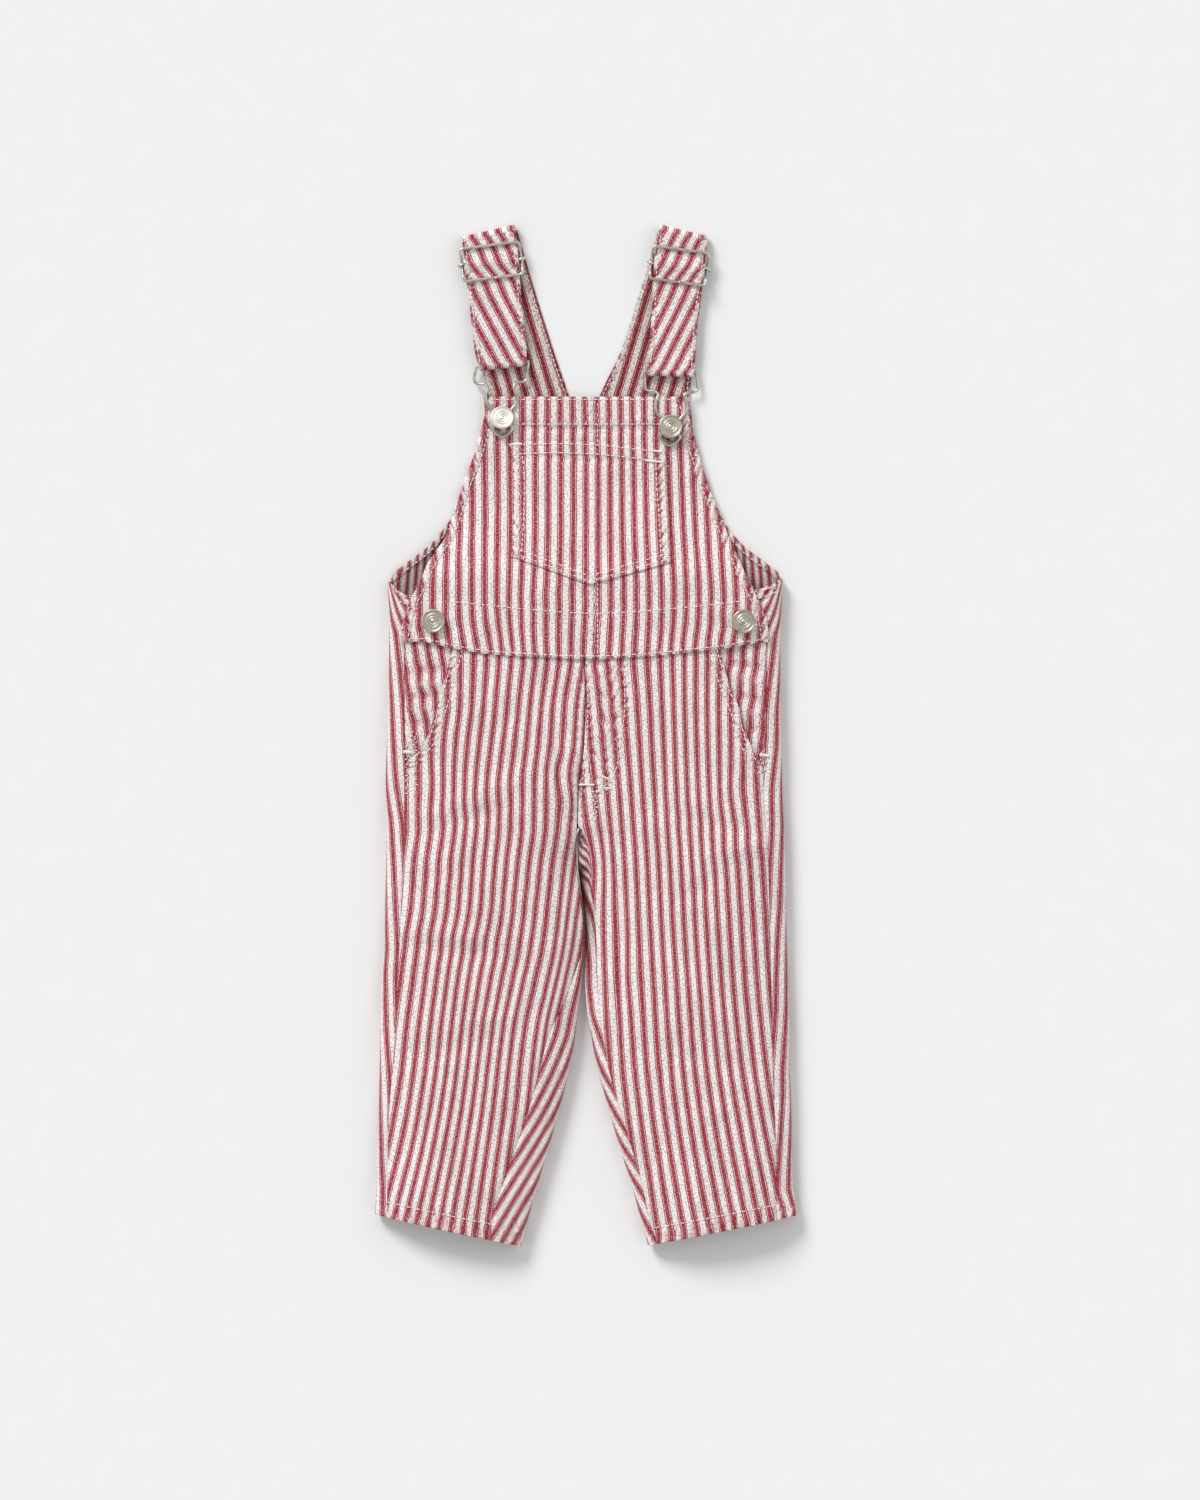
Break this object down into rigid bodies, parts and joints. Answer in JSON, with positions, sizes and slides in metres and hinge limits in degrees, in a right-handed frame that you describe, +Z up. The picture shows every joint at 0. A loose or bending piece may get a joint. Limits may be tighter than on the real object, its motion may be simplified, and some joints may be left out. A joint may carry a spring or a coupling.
{
  "type": "kids bib overalls",
  "caption": "Child's bib overalls in striped cotton, laid flat on the back with straps buckled, patch pocket, slant pockets and mock fly.",
  "frame": {"origin": "under the middle of the garment, on the surface that it lies on", "axes": "+Y from the leg hems to the shoulders, +X to the right seen from above, +Z up from the surface through the front"},
  "size_m": [0.2634, 0.6378, 0.0212],
  "materials": {
    "striped_cotton": "soft cotton drill with woven red and white ticking stripes",
    "buckle_metal": "bright nickel-plated wire",
    "button_metal": "satin nickel, a little worn"
  },
  "bodies": {
    "root": {"back_left": "striped_cotton", "back_right": "striped_cotton", "front_left": "striped_cotton", "front_right": "striped_cotton", "pocket_facing_left": "striped_cotton", "pocket_facing_right": "striped_cotton", "bib_left": "striped_cotton", "bib_right": "striped_cotton", "bib_pocket": "striped_cotton", "strap_left": "striped_cotton", "strap_right": "striped_cotton", "hook_left": "buckle_metal", "hook_right": "buckle_metal", "slider_left": "buckle_metal", "slider_right": "buckle_metal", "slider_bar_left": "buckle_metal", "slider_bar_right": "buckle_metal", "chest_button_left": "button_metal", "chest_button_right": "button_metal", "side_button_left": "button_metal", "side_button_right": "button_metal"}
  },
  "joints": []
}
